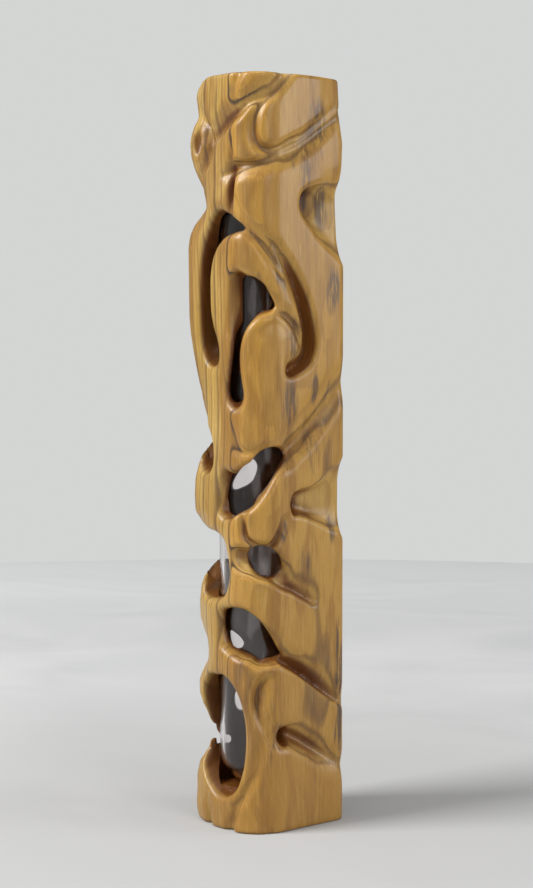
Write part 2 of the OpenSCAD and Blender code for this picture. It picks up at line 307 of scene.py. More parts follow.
# Upper slant window, the crease over it and the arm below.
window([(2.6, 85.5), (3.9, 84.9), (7, 85.4), (9.6, 87), (12.6, 89), (15, 90.3), (17.5, 91.1), (19.4, 90.3),
        (20, 88.4),
        (18.4, 86.1), (16.2, 83.7), (14.2, 80.8), (12, 78.4), (10, 76.7), (7.9, 76), (5.5, 75.2), (4, 74.3),
        (2, 74.5),
        (0.4, 76), (-0.2, 78.6), (0.1, 81.7), (1.3, 84.3)], lip=0.9, lip_width=1.8, left=1.5)
groove([(5.9, 96), (6.0, 93.5), (6.5, 91.6), (7.7, 90.3), (9.6, 89.6), (12, 90), (14.6, 91), (17.5, 91.6)],
       [0.3, 0.9, 1.2, 1.0, 0.6], 1.8, 1.4, fade=0)
groove([(19.6, 88.6), (21.5, 90.3), (24, 92), (26.6, 94.3), (29.4, 97), (31.6, 99.3), (34, 101.7),
        (39, 106.5)],
       [2.6, 2.6, 2.2, 1.5, 0.6], 5.0, 3.0, fade=0)
groove([(10, 76.2), (8.8, 74.8), (8.9, 72), (9.6, 69.8), (11.5, 68.6), (13, 68.2), (15, 68.3), (16.6, 69.3),
        (17.9, 71.6),
        (18.8, 73.6), (20.4, 76)], [1.2, 1.8, 2.3, 2.1, 1.5, 0.8], 0.8, 1.6, fade=0.06)
# Shallow scoop on the left of the post, the waist beside it and those below.
recess([(-2.4, 92.4), (-2.0, 89.5), (-2.3, 86.5), (-4.0, 84.6), (-6.5, 84.4), (-9, 86.5), (-10, 90),
        (-9.4, 93.5),
        (-7, 95.6), (-4.2, 94.8)], 6.8, edge=2.2, lip=0.4)
# Left side eye, open round the edge.
window([(1.5, 68.5), (2.5, 66), (3.2, 63.5), (3.4, 60.5), (2.6, 57.8), (1.2, 55.8), (-1, 55), (-4, 54.6),
        (-6.6, 55.2),
        (-8.0, 57.5), (-10.5, 60.5), (-14, 62.6), (-20, 63.6), (-23, 66), (-20, 69), (-15, 70.5), (-10, 71),
        (-5, 71),
        (-1, 70.2)], lip=1.2, lip_width=2.4)
# Right eye: an almond recess with a round window in it and a bright flank below.
groove([(9, 64.4), (12.5, 62.6), (16, 60.2), (19, 58.4), (21.5, 57.5), (24, 56.2), (26.5, 54.9),
        (29.6, 53.2)],
       [1.6, 2.6, 3.0, 2.8, 2.4, 1.8, 0.8], 3.8, 0.8, fade=0.05)
recess([(5.6, 67.3), (8.4, 67.8), (10.4, 67.7), (13.4, 68), (16.2, 67.1), (18.4, 65.2), (21.2, 62.6),
        (22, 60), (20.5, 58.6),
        (18, 58.7), (15, 59.6), (12.6, 60.3), (10, 61.1), (7.5, 62), (5.7, 64)], 2.6, edge=2.2, lip=0.5,
       lip_width=1.4)
window([(9.8, 66), (11.2, 66.8), (13.4, 67), (15.8, 66.5), (17.6, 65.4), (18.4, 63.9), (18.4, 62.2),
        (17.6, 60.9),
        (16.2, 60.3), (14.2, 60.5), (11.9, 61.2), (10.6, 62.8), (9.7, 64.4)], lip=2.6, lip_width=0.8, wall=7)
groove([(14.2, 59.5), (13.9, 56.5), (14.6, 52.6), (16.4, 48.6), (18.8, 45), (22, 42.8)], [0.5, 0.8, 0.8, 0.6],
       1.6, 3.4)
# Lower slant window, the deep crease from it and the lobe below.
window([(1.5, 52.3), (5.5, 52.9), (8.8, 52.6), (11.5, 51), (14.2, 49), (16.7, 46), (18.8, 43), (19.3, 41.3),
        (18.2, 40.5),
        (16.5, 40.1), (14.2, 39.8), (12, 40), (9.6, 41.1), (7.5, 41.6), (5, 42.3), (3, 43), (1.3, 44.2),
        (0.4, 46.7),
        (0.2, 49.5), (0.7, 51.3)], lip=1.0, lip_width=2.0, left=2.4)
groove([(19.2, 40.3), (23, 38.3), (27, 35.7), (30.2, 33.4), (34.3, 30.4), (39, 27.5)],
       [3.4, 3.9, 3.2, 1.9, 0.2], 3.8, 0.8,
       fade=0)
groove([(17.2, 37.8), (14.2, 37), (12.5, 35.2), (11.8, 31.8), (12.3, 28.4), (13.5, 25.7), (15, 22.6),
        (17, 19.6)],
       [0.8, 1.8, 2.3, 1.9, 1.2, 0.6], 3.0, 1.8, fade=0.08)
groove([(13.2, 25.8), (13.1, 21.5), (12.5, 17.7), (11.6, 14), (10.4, 12), (8.8, 9), (7, 6.8), (5.6, 4.2),
        (4.5, 1.6),
        (4, -1)], [0.3, 0.7, 0.9, 1.3, 1.6, 1.8], 1.8, 1.8, fade=0)
groove([(12, 9.5), (12.3, 6), (13.4, 3), (15.6, 0)], [0.2, 0.5, 0.6], 1.0, 1.4, fade=0)
groove([(-4.4, 10), (-4.6, 6), (-4.4, 3), (-4.2, -1)], [0.3, 1.2, 2.2], 2.0, 2.0, fade=0)
groove([(2.8, 8), (3.2, 5), (4.0, 2.6)], 0.4, 1.0, 1.0)
# Foot window, with a notch from it round the left edge.
window([(-1.6, 36.4), (1.2, 35.6), (4, 33.4), (6.5, 30.9), (8.1, 27.6), (8.7, 24.2), (8.7, 20), (8.2, 15.8),
        (7.2, 12.6),
        (6.2, 10.5), (4.4, 8.9), (2, 7.9), (-0.7, 8.2), (-3.0, 9.4), (-5.2, 11.2), (-7.2, 13.6), (-8.1, 16.6),
        (-8.0, 20),
        (-7.4, 24), (-7.4, 28), (-7.6, 31.5), (-6.2, 34.6), (-4.0, 36.2)], lip=1.0, lip_width=2.0)
groove([(-6, 21.0), (-10, 20.9), (-13, 20.4), (-17, 19.6), (-20, 18.9), (-22, 18.4), (-23.6, 18)],
       [9, 9, 9, 8.5, 7.2, 5.2, 0.5], 2.2, 4.4, fade=0)
# Pinholes on the right face with their flares.
recess([(22.2, 78.5), (23, 80.5), (27.9, 81.6), (31.6, 83.6), (34, 85.4), (39, 87.5), (44, 86), (44, 70),
        (39, 69),
        (36, 70.3), (33.4, 71.2), (31, 72.3), (27, 74.1), (23.2, 75.3), (22.0, 76.6)],
       lambda u, z: np.interp(u, [22, 24, 30, 37.6, 42], [3.4, 3.4, 2.6, 1.7, 1.0]),
       edge=lambda u, z: np.interp(u, [28, 37], [1.8, 7.5]), lip=0.25)
window(lens(22.9, 77.5, 4.6, 2.0), lip=3.2, lip_width=0.6, wall=7)
groove([(19.4, 22.9), (21.5, 22.9), (24.7, 21.4), (28.3, 19.2), (33, 16.3), (39, 13)],
       [3.2, 3.3, 2.8, 2.2, 1.3, 0.5],
       3.0, 3.4, fade=0)
window(lens(20.0, 22.6, 3.8, 2.2), lip=3.0, lip_width=0.7, wall=7)
# Scoop in the right back edge.
recess([(24.2, 148.2), (25.2, 150.8), (28.4, 152.4), (32.9, 153.6), (37, 154), (42, 154), (46, 146),
        (44, 135),
        (38, 134.6), (33.5, 137.2), (29.7, 140.2), (27, 143.2), (24.8, 145.8)],
       lambda u, z: np.interp(u - 0.5 * (z - 146), [24, 26.5, 31, 38, 44], [4.4, 4.2, 2.9, 2.0, 1.6]),
       edge=lambda u, z: np.interp(u, [26, 37], [1.8, 7.0]), lip=0.25)

# The left face, carved in the same manner.
recess(lens(-24.0, 139, 17, 9, -25), 2.6, edge=2.8, lip=0.4)
recess(lens(-22.5, 103, 24, 8, 14), 2.6, edge=2.8, lip=0.4)
recess(lens(-30.0, 81.4, 15, 11, 40), 1.6, edge=2.5, lip=0.4)
recess(lens(-27.0, 41.0, 12, 9, -35), 1.8, edge=2.5, lip=0.4)
recess(lens(-28.5, 28.0, 11, 8, 10), 1.8, edge=2.5, lip=0.4)
groove([(-11, 158), (-17, 156), (-24, 158), (-31, 163), (-38, 170), (-42, 174)], [0.6, 1.8, 2.0, 1.8, 1.4],
       1.6, 3.6, fade=0.04)
groove([(-13, 176), (-18, 172), (-24, 168), (-31, 167), (-37, 171)], [0.8, 1.4, 1.4, 0.8], 3.0, 1.8)
groove([(-30, 147), (-33, 140), (-33, 131), (-29, 124), (-24, 121), (-20, 124), (-19, 129)],
       [0.8, 2.0, 2.6, 2.6, 2.2, 1.2], 2.8, 2.2)
groove([(-17, 89), (-22, 93), (-29, 99), (-35, 107), (-40, 113)], [0.8, 1.8, 2.2, 1.8, 1.2], 2.2, 3.8,
       fade=0.05)
groove([(-20, 55), (-25, 53), (-31, 56), (-36, 62), (-40, 69)], [0.6, 1.8, 2.4, 2.0, 1.4], 3.6, 1.6,
       fade=0.05)
groove([(-33, 40), (-35, 34), (-33, 28), (-36, 20), (-40, 13)], [0.5, 1.4, 1.8, 1.6, 1.2], 1.8, 3.2,
       fade=0.05)
recess(lens(-38, 122, 16, 9, 20), 2.2, edge=2.4)
recess(lens(-38.5, 52, 13, 8, -15), 2.0, edge=2.4)
groove([(-20, 12), (-24, 8), (-27, 4), (-28, -1)], [0.4, 1.0, 1.3], 1.8, 1.8, fade=0)

carved = carved ** (1 / SHARP)


def soften(field, cells):
    """A few passes of neighbour averaging, as polishing does."""
    for _ in range(cells):
        field = (field + 0.5 * (np.roll(field, 1, 0) + np.roll(field, -1, 0))) / 2
        pad = np.pad(field, ((0, 0), (1, 1)), mode="edge")
        field = (pad[:, 1:-1] + 0.5 * (pad[:, :-2] + pad[:, 2:])) / 2
    return field


carved = soften(np.minimum(carved, 9.5), 7)

# ---------------------------------------------------------------- openings cut slantwise

# Outlines of slanting cuts, in mm to the right and up as seen along the cut. Near ones open the right front, far
# ones the left rear. The near ones were picked by eye on the photograph and turned into mm by a scratch script,
# which the rules for this file don't allow: report.md says so.
CUT_TURN = math.radians(50)
CUT_MARGIN = 2.5      # how far round an outline its field reaches, mm
CUT_STEP = 0.2        # the field's step, mm
NEAR_CUTS = [
    [(-3.7, 131), (-2, 130.6), (0, 129), (1.3, 126.8), (2.2, 124.8), (2, 123.5), (-0.6, 122.8), (-3, 121.2),
     (-4.4, 119),
     (-5.3, 116.7), (-5.8, 114), (-6, 110.4), (-5.8, 106.8), (-5.1, 104), (-5.3, 102.2), (-6.2, 101.4),
     (-7.4, 102),
     (-8, 103.6), (-8, 106), (-7.7, 109.2), (-7.2, 112.7), (-7, 115.5), (-6.5, 118), (-5.1, 120.5), (-4, 123),
     (-4.4, 125.7), (-4.9, 128), (-4.7, 130)],
    [(-3.4, 87.7), (-2, 89.4), (-0.4, 90.6), (1.3, 91.2), (2.9, 91), (3.8, 90.2), (4.3, 88.8), (3.6, 87.2),
     (2.4, 85),
     (1, 82.6), (-0.6, 80.4), (-2.3, 78.8), (-4, 77.5), (-5.8, 76.9), (-7.4, 77), (-8.4, 78), (-8.6, 79.7),
     (-8.1, 81.4),
     (-7.3, 83.3), (-6.2, 85.2), (-4.8, 86.8)],
    [(-3.4, 67.3), (-2, 68), (0, 68), (1.5, 67.5), (2.9, 66.3), (3.6, 65), (3.8, 63), (3, 61.4), (2, 60.4),
     (0, 60.7),
     (-1.6, 61.4), (-3, 62.8), (-3.7, 64.4), (-3.9, 66)],
    [(-8.4, 52.9), (-6.7, 53.3), (-4.8, 53), (-3.2, 52.2), (-1.6, 51), (0, 49), (1.5, 46.5), (2.9, 43.7),
     (3.7, 42.1),
     (2.9, 41.4), (0.8, 41), (-1.3, 41.2), (-3.4, 42), (-5.5, 42.8), (-7.2, 43.8), (-8.4, 45.4), (-9.1, 47.5),
     (-9.3, 49.8), (-9.1, 51.7)],
    [(-10.7, 36.6), (-9, 36.4), (-7.7, 35.2), (-6.5, 33.3), (-5.5, 30.5), (-4.8, 27.2), (-4.6, 23.2),
     (-4.7, 19.2),
     (-5.3, 15.4), (-6.2, 13.2), (-7.9, 11.8), (-9.3, 11.3), (-10.4, 12.6), (-10.8, 16), (-10.8, 22),
     (-11, 30)],
]
FAR_CUTS = [
    [(-3.6, 87.5), (-2.0, 86.4), (-1.7, 84.4), (-2.5, 82.2), (-4.0, 80.8), (-6, 80), (-8, 79.6), (-8.9, 80.4),
     (-7.9, 82.5),
     (-6.0, 85), (-4.6, 86.8)],
    [(-9.2, 45.6), (-7.8, 44.9), (-6.2, 43.5), (-5.3, 42), (-6, 40.8), (-7.6, 41.2), (-8.8, 43)],
    [(-5.2, 31.2), (-7.4, 30.4), (-8.0, 28.4), (-7.2, 26), (-5.4, 25.2), (-3.9, 26.6), (-3.8, 29.4)],
]


class SlantCut:
    def __init__(self, points, near):
        self.near = near
        line = curve(points, closed=True)
        self.lo, self.hi = line.min(0) - CUT_MARGIN, line.max(0) + CUT_MARGIN
        self.n = np.ceil((self.hi - self.lo) / CUT_STEP).astype(int) + 1
        s, z = np.meshgrid(*(np.linspace(a, b, n) for a, b, n in zip(self.lo, self.hi, self.n)),
                           indexing="ij")
        self.field = nearest(line, s, z, closed=True)[0] * np.where(inside(line, s, z), 1, -1)

    def __call__(self, x, y, z):
        """Positive inside the cut."""
        s = x * math.cos(CUT_TURN) + y * math.sin(CUT_TURN)
        t = (x * math.sin(CUT_TURN) - (y - AXIS_Y) * math.cos(CUT_TURN)) * (1 if self.near else -1)
        a = (s - self.lo[0]) / (self.hi[0] - self.lo[0]) * (self.n[0] - 1)
        b = (z - self.lo[1]) / (self.hi[1] - self.lo[1]) * (self.n[1] - 1)
        near = (a > 0) & (a < self.n[0] - 1.01) & (b > 0) & (b < self.n[1] - 1.01)
        i, j = np.where(near, a, 0).astype(int), np.where(near, b, 0).astype(int)
        a, b, f = np.where(near, a - i, 0), np.where(near, b - j, 0), self.field
        v = (f[i, j] * (1 - a) * (1 - b) + f[i + 1, j] * a * (1 - b)
             + f[i, j + 1] * (1 - a) * b + f[i + 1, j + 1] * a * b)
        return np.minimum(np.where(near, v, -CUT_MARGIN), t)


slants = [SlantCut(c, True) for c in NEAR_CUTS] + [SlantCut(c, False) for c in FAR_CUTS]

# ---------------------------------------------------------------- from the map to a solid

EDGE = 0.9  # how far the top and bottom edges are eased, mm


def lookup(u, z):
    a = np.clip((u - U_LO) / (U_HI - U_LO) * (nu - 1), 0, nu - 1.001)
    b = np.clip(z / HEIGHT * (nz - 1), 0, nz - 1.001)
    i, j = a.astype(int), b.astype(int)
    a, b = a - i, b - j
    return (carved[i, j] * (1 - a) * (1 - b) + carved[i + 1, j] * a * (1 - b)
            + carved[i, j + 1] * (1 - a) * b + carved[i + 1, j + 1] * a * b)


def blend_max(a, b, k):
    return np.maximum(a, b) + np.maximum(k - np.abs(a - b), 0) ** 2 / (4 * k)


def wood(x, y, z):
    """Negative inside the carved block, in mm, before the bore is cut."""
    u, inset = unroll(x, y)
    side = lookup(u, z) - inset
    for c in slants:
        side = blend_max(side, c(x, y, z), 0.7)
    side = np.minimum(side, np.hypot(x, y - AXIS_Y) - BORE_R + 1.0)
    return blend_max(side, np.maximum(z - HEIGHT, -z), EDGE)


def surface_net(field, xs, ys, zs):
    """Quads round the zero surface of a field sampled on a grid, one vertex to a cell it crosses."""
    v = field(*np.meshgrid(xs, ys, zs, indexing="ij"))
    s = v < 0
    c = [s[i:s.shape[0] - 1 + i, j:s.shape[1] - 1 + j, k:s.shape[2] - 1 + k]
         for i in (0, 1) for j in (0, 1) for k in (0, 1)]
    total = sum(a.astype(int) for a in c)
    cells = np.argwhere((total > 0) & (total < 8))
    index = np.full(tuple(n - 1 for n in s.shape), -1)
    index[tuple(cells.T)] = np.arange(len(cells))
    place = np.zeros((len(cells), 3))
    count = np.zeros(len(cells))
    grid = (xs, ys, zs)
    for axis in range(3):
        o1, o2 = [a for a in range(3) if a != axis]
        for d1 in (0, 1):
            for d2 in (0, 1):
                lo = cells.copy(); lo[:, o1] += d1; lo[:, o2] += d2
                hi = lo.copy(); hi[:, axis] += 1
                va, vb = v[tuple(lo.T)], v[tuple(hi.T)]
                cross = (va < 0) != (vb < 0)
                t = np.where(cross, va / np.where(cross, va - vb, 1), 0)
                p = np.stack([grid[a][lo[:, a]] for a in range(3)], 1)
                p[:, axis] += t * (grid[axis][hi[:, axis]] - grid[axis][lo[:, axis]])
                place[cross] += p[cross]
                count[cross] += 1
    place /= count[:, None]
    quads = []
    for axis in range(3):
        o1, o2 = [(1, 2), (2, 0), (0, 1)][axis]
        a = [slice(None)] * 3; b = [slice(None)] * 3
        a[axis], b[axis] = slice(0, -1), slice(1, None)
        change = s[tuple(a)] != s[tuple(b)]
        e = np.argwhere(change)
        e = e[(e[:, o1] > 0) & (e[:, o2] > 0)]
        e = e[(e[:, o1] < s.shape[o1] - 1) & (e[:, o2] < s.shape[o2] - 1)]
        ring = []
        for d1, d2 in ((-1, -1), (0, -1), (0, 0), (-1, 0)):
            q = e.copy(); q[:, o1] += d1; q[:, o2] += d2
            ring.append(index[tuple(q.T)])
        ring = np.stack(ring, 1)
        flip = ~s[tuple(e.T)]
        ring[flip] = ring[flip][:, ::-1]
        quads.append(ring)
    return place, np.vstack(quads)


def settle(field, p, passes=3, h=0.05):
    """Moves points onto the zero surface."""
    for _ in range(passes):
        g = np.stack([(field(*(p + d).T) - field(*(p - d).T)) / (2 * h) for d in np.eye(3) * h], 1)
        f = field(*p.T)
        step = (f / np.maximum((g * g).sum(1), 0.5))[:, None] * g
        size = np.linalg.norm(step, axis=1, keepdims=True)
        p = p - step * np.minimum(1, 0.2 / np.maximum(size, 1e-9))
    return p


def link(name, vertices, faces, smooth=True):
    """A mesh object from points in mm."""
    mesh = bpy.data.meshes.new(name)
    mesh.from_pydata((np.asarray(vertices) * MM).tolist(), [], [list(map(int, f)) for f in faces])
    mesh.validate()
    mesh.polygons.foreach_set("use_smooth", [smooth] * len(mesh.polygons))
    obj = bpy.data.objects.new(name, mesh)
    bpy.context.scene.collection.objects.link(obj)
    return obj


def axis_points(lo, hi, step):
    n = int(math.ceil((hi - lo) / step))
    return np.linspace(lo, hi, n + 1)


cell = CELL * 1.0
xs = axis_points(body_lo[0] - 0.7, body_hi[0] + 0.7, cell)
ys = axis_points(body_lo[1] - 0.7, body_hi[1] + 0.7, cell)
zs = axis_points(-0.7, HEIGHT + 0.7, cell)
points, quads = surface_net(wood, xs, ys, zs)
points = settle(wood, points)
block = link("carved_block", points, quads)


def keep_largest(obj):
    """Drops the crumbs that cutting leaves."""
    bm = bmesh.new()
    bm.from_mesh(obj.data)
    seen, groups = set(), []
    for start in bm.verts:
        if start in seen:
            continue
        group, queue = [], [start]
        seen.add(start)
        while queue:
            v = queue.pop()
            group.append(v)
            for e in v.link_edges:
                w = e.other_vert(v)
                if w not in seen:
                    seen.add(w)
                    queue.append(w)
        groups.append(group)
    groups.sort(key=len)
    for group in groups[:-1]:
        bmesh.ops.delete(bm, geom=group, context="VERTS")
    bm.to_mesh(obj.data)
    bm.free()


keep_largest(block)


def cut(target, tool):
    """Takes tool's solid out of target, and drops the tool."""
    mod = target.modifiers.new("cut", "BOOLEAN")
    mod.operation, mod.object, mod.solver = "DIFFERENCE", tool, "MANIFOLD"
    done = bpy.data.meshes.new_from_object(target.evaluated_get(bpy.context.evaluated_depsgraph_get()))
    target.modifiers.clear()
    old = target.data
    target.data = done
    bpy.data.meshes.remove(old)
    bpy.data.objects.remove(tool)


def lathe(name, profile, segments=96, centre=(0.0, AXIS_Y)):
    """Turns a profile of (radius, z) points in mm about an upright axis. A zero radius closes an end."""
    verts, faces, rows = [], [], []
    for r, z in profile:
        if r < 1e-6:
            rows.append([len(verts)])
            verts.append((centre[0], centre[1], z))
        else:
            rows.append(list(range(len(verts), len(verts) + segments)))
            for k in range(segments):
                a = 2 * math.pi * k / segments
                verts.append((centre[0] + r * math.cos(a), centre[1] + r * math.sin(a), z))
    for a, b in zip(rows, rows[1:]):
        for k in range(segments):
            n = (k + 1) % segments
            if len(a) == 1:
                faces.append((a[0], b[n], b[k]))
            elif len(b) == 1:
                faces.append((a[k], a[n], b[0]))
            else:
                faces.append((a[k], a[n], b[n], b[k]))
    return link(name, verts, faces)


bore = lathe("bore_tool",
             [(0, FLOOR_Z), (BORE_R, FLOOR_Z), (BORE_R, HEIGHT - 0.6), (BORE_R + 1.6, HEIGHT + 1),
              (0, HEIGHT + 1)])
cut(block, bore)
scoop_r = 5.0
scoop = lathe("scoop_tool", [(scoop_r * math.sin(a), HEIGHT + scoop_r / 3 - scoop_r * math.cos(a))
                             for a in np.linspace(0, math.pi, 25)], 48, (0.0, AXIS_Y + BORE_R + 1))
cut(block, scoop)


def prism(name, outline, y0, y1):
    """A solid with an outline in X and Z, from y0 to y1 (mm)."""
    n = len(outline)
    verts = [(x, y, z) for y in (y0, y1) for x, z in outline]
    faces = [tuple(range(n)), tuple(range(2 * n - 1, n - 1, -1))]
    faces += [(k, k + n, (k + 1) % n + n, (k + 1) % n) for k in range(n)]
    obj = link(name, verts, faces, smooth=False)
    bm = bmesh.new()
    bm.from_mesh(obj.data)
    bmesh.ops.recalc_face_normals(bm, faces=bm.faces)
    bm.to_mesh(obj.data)
    bm.free()
    return obj


def stadium(radius, z0, z1, n=24, x=0.0):
    top = [(x + radius * math.cos(a), z1 + radius * math.sin(a)) for a in np.linspace(0, math.pi, n)]
    low = [(x - radius * math.cos(a), z0 - radius * math.sin(a)) for a in np.linspace(0, math.pi, n)]
    return top + low


SEAT_GAP = 0.1                                # round a plate
POCKET_R, POCKET_DEPTH = 4.3, 4               # room for a screw head behind a keyhole
POCKET_DOWN, POCKET_UP = 2.5, 4.5
PILOT_R, SCREW_INSET = 1.35, 2.5
for label in ("upper", "lower"):
    p_lo, p_hi = box_mm(label + "_keyhole_plate")
    s_lo, s_hi = box_mm(label + "_plate_screws")
    r, mid, thick = (p_hi[0] - p_lo[0]) / 2, (p_hi[2] + p_lo[2]) / 2, p_hi[1] - p_lo[1]
    cut(block, prism("seat", stadium(r + SEAT_GAP, p_lo[2] + r, p_hi[2] - r), BACK_Y - thick, BACK_Y + 1))
    cut(block, prism("pocket", stadium(POCKET_R, mid - POCKET_DOWN, mid + POCKET_UP),
                     BACK_Y - thick - POCKET_DEPTH, BACK_Y + 1))
    for z in (s_lo[2] + SCREW_INSET, s_hi[2] - SCREW_INSET):
        cut(block, prism("pilot", stadium(PILOT_R, z, z, 12), s_lo[1] - 0.1, BACK_Y + 1))
keep_largest(block)


def store_occlusion_shade(obj, rays=14, reach=12.0):
    """Stores how shut in each point of the surface is, 0 to 1, as a point attribute; the wood material paints shade
    into its colour by it.
    """
    mesh = obj.data
    n = len(mesh.vertices)
    at, out = np.empty(3 * n, np.float32), np.empty(3 * n, np.float32)
    mesh.vertices.foreach_get("co", at)
    mesh.vertices.foreach_get("normal", out)
    at, out = at.reshape(n, 3).astype(float), out.reshape(n, 3).astype(float)
    k = np.arange(rays) + 0.5
    tilt, turns = np.arccos(1 - 2 * k / rays), math.pi * (1 + 5 ** 0.5) * k
    ways = np.stack([np.cos(turns) * np.sin(tilt), np.sin(turns) * np.sin(tilt), np.cos(tilt)], 1)
    tree = BVHTree.FromObject(obj, bpy.context.evaluated_depsgraph_get())
    start = [Vector(p) for p in at + out * 0.08 * MM]
    total, weight = np.zeros(n), np.zeros(n)
    for way in ways:
        facing = out @ way
        there, back = Vector(way), Vector(-way)
        dist = np.array([tree.ray_cast(p, there if f > 0 else back, reach * MM)[3] or reach * MM for p,
                         f in zip(start, facing)])
        # The tube shuts the openings too, so the painted shade darkens them.
        px, py = at[:, 0], at[:, 1] - AXIS_Y * MM
        dx, dy = way[0] * np.sign(facing), way[1] * np.sign(facing)
        a, b, c = dx * dx + dy * dy, px * dx + py * dy, px * px + py * py - (TUBE_R * MM) ** 2
        root = b * b - a * c
        hit = (root > 0) & (b < 0) & (c > 0)
        dist = np.where(hit, np.minimum(dist, (-b - np.sqrt(np.maximum(root, 0))) / np.maximum(a, 1e-9)),
                        dist)
        total += np.abs(facing) * (1 - dist / (reach * MM))
        weight += np.abs(facing)
    shut = total / weight
    # The bore's walls get at least this much painted shade.
    shut = np.where(np.hypot(at[:, 0] / MM, at[:, 1] / MM - AXIS_Y) < BORE_R + 0.2, np.maximum(shut, 0.55),
                    shut)
    edges = np.empty(2 * len(mesh.edges), np.int32)
    mesh.edges.foreach_get("vertices", edges)
    one, two = edges.reshape(-1, 2).T
    degree = np.bincount(one, minlength=n) + np.bincount(two, minlength=n)
    for _ in range(3):
        around = np.bincount(one, shut[two], n) + np.bincount(two, shut[one], n)
        shut = 0.4 * shut + 0.6 * around / np.maximum(degree, 1)
    mesh.attributes.new("occlusion_shade", "FLOAT", "POINT").data.foreach_set("value", shut.astype(np.float32))


store_occlusion_shade(block)
block.data.set_sharp_from_angle(angle=math.radians(38))
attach(block, "case")
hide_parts("case_body")

# ---------------------------------------------------------------- tube, stopper, cork

glass_wall = 1.0
rim = tube_hi[2]
r_in = TUBE_R - glass_wall
arc = np.linspace(0, math.pi / 2, 28)
outer = [(TUBE_R * math.sin(a), FLOOR_Z + TUBE_R - TUBE_R * math.cos(a)) for a in arc]
inner = [(r_in * math.sin(a), FLOOR_Z + TUBE_R - r_in * math.cos(a)) for a in arc[::-1]]
lip = [(TUBE_R - 0.5 + 0.5 * math.cos(a), rim - 0.5 + 0.5 * math.sin(a)) for a in np.linspace(0, math.pi, 10)]
straight = list(np.linspace(FLOOR_Z + TUBE_R, rim - 0.5, 14)[1:-1])
tube = lathe("glass_test_tube",
             outer + [(TUBE_R, z) for z in straight] + lip + [(r_in, z) for z in straight[::-1]] + inner, 128)
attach(tube, "tube")
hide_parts("glass_tube")

head_r = (head_hi[0] - head_lo[0]) / 2
under, top = cork_hi[2], head_hi[2]
profile = [(0, head_lo[2]), (2.6, head_lo[2]), (3, head_lo[2] + 0.4), (3, under), (head_r - 0.3, under),
           (head_r, under + 0.3)]
profile += [(head_r, z) for z in np.linspace(under + 2, top - 5.5, 6)]
profile += [(head_r - 1.0 * math.cos(a), top - 3.2 + 1.0 * math.sin(a)) for a in np.linspace(-math.pi / 2,
                                                                                             math.pi / 2, 13)]
profile += [(head_r - 0.5 + 0.5 * math.cos(a), top - 0.55 + 0.5 * math.sin(a)) for a in np.linspace(0,
                                                                                                    math.pi / 2, 6)]
dish = (head_r - 1.4) ** 2 / (2 * 0.8)
profile += [(r, top - 0.8 + r * r / (2 * dish)) for r in np.linspace(head_r - 1.4, 0, 12)]
stopper = lathe("turned_stopper", profile, 96)
stopper.data.set_sharp_from_angle(angle=math.radians(50))
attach(stopper, "stopper")
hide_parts("stopper_head")

plug_r = r_in - 0.05
cork_r = (cork_hi[0] - cork_lo[0]) / 2
c0 = cork_lo[2]
profile = [(3, c0), (plug_r - 0.9, c0), (plug_r - 0.5, c0 + 0.4), (plug_r, c0 + 4.5), (plug_r, rim),
           (cork_r - 0.3, rim), (cork_r, rim + 0.3),
           (cork_r, under - 0.3), (cork_r - 0.3, under), (3, under), (3, c0)]
profile = [(a[0] + (b[0] - a[0]) * t, a[1] + (b[1] - a[1]) * t) for a, b in zip(profile, profile[1:])
           for t in np.arange(0, 1, min(1, 0.7 / max(math.dist(a, b), 1e-6)))]
cork = lathe("cork_sleeve", profile + [(3, c0)], 72)
bm = bmesh.new()
bm.from_mesh(cork.data)
bmesh.ops.remove_doubles(bm, verts=bm.verts, dist=1e-6)
bmesh.ops.recalc_face_normals(bm, faces=bm.faces)
for v in bm.verts:  # pits and crumbled grains
    p = np.array(v.co) / MM
    n = math.sin(2.9 * p[0] + 1.3 * p[2]) * math.sin(3.3 * p[1] - 2.1 * p[2]) * math.sin(2.7 * p[2] + 1.7 * p[0])
    r = math.hypot(p[0], p[1] - AXIS_Y)
    if n > 0.35 and r > 3.2 and p[2] > rim + 0.2:
        v.co.x -= (p[0]) / r * 0.12 * MM
        v.co.y -= (p[1] - AXIS_Y) / r * 0.12 * MM
bm.to_mesh(cork.data)
bm.free()
cork.data.set_sharp_from_angle(angle=math.radians(50))
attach(cork, "stopper")
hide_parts("stopper_cork")

# ---------------------------------------------------------------- materials


